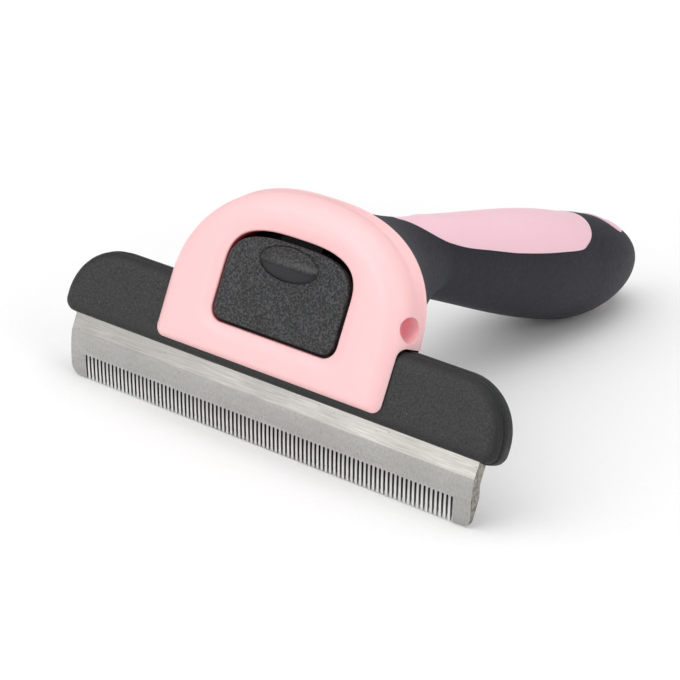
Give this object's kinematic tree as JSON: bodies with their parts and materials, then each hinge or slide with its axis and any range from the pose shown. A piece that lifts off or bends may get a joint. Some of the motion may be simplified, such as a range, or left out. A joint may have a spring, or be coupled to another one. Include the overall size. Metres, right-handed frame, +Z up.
{
  "type": "deshedding tool",
  "caption": "Pet deshedding tool: steel comb blade in a push-button release cartridge on a D-shaped head, with a rounded soft-grip handle.",
  "frame": {"origin": "on the surface the tool lies on, under the middle of its box", "axes": "+X along the comb blade, +Y from the blade towards the end of the handle, +Z up with the tool lying on its teeth and the underside of its handle"},
  "size_m": [0.1078, 0.1644, 0.0514],
  "materials": {
    "front_shell": "satin pink ABS",
    "handle_core": "satin pink ABS",
    "top_inlay": "satin pink inlay",
    "hang_eyelet": "satin pink inlay",
    "release_button": "black leather-grained",
    "carrier": "black fine-textured",
    "grip_sleeve": "black soft-touch rubber",
    "blade_steel": "ground and brushed stainless",
    "small_steel": "zinc-plated"
  },
  "bodies": {
    "handle": {"front_shell": "front_shell", "handle_core": "handle_core", "grip_sleeve": "grip_sleeve", "top_inlay": "top_inlay", "hang_eyelet": "hang_eyelet", "hinge_pin": "small_steel", "catch_spring": "small_steel", "catch_screw_left": "small_steel", "catch_screw_right": "small_steel", "shell_screw_1": "small_steel", "shell_screw_2": "small_steel", "shell_screw_3": "small_steel", "shell_screw_4": "small_steel"},
    "button": {"release_button": "release_button"},
    "cartridge": {"carrier_front": "carrier", "carrier_rear": "carrier", "comb_blade": "blade_steel", "blade_rivet_1": "small_steel", "blade_rivet_2": "small_steel", "blade_rivet_3": "small_steel", "blade_rivet_4": "small_steel"}
  },
  "joints": [
    {"name": "button_press", "type": "hinge", "parent": "handle", "child": "button", "pos_m": [0, -0.07309, 0.03285], "axis": [-1, 0, 0], "range_deg": [0, 7], "stiffness_Nm_per_rad": 0.3, "springref_deg": -5.73, "deforming": ["catch_spring"]},
    {"name": "cartridge_slide", "type": "slide", "parent": "handle", "child": "cartridge", "axis": [0, -0.3007, -0.9537], "range_m": [0, 0.026], "deforming": ["catch_spring"]}
  ]
}
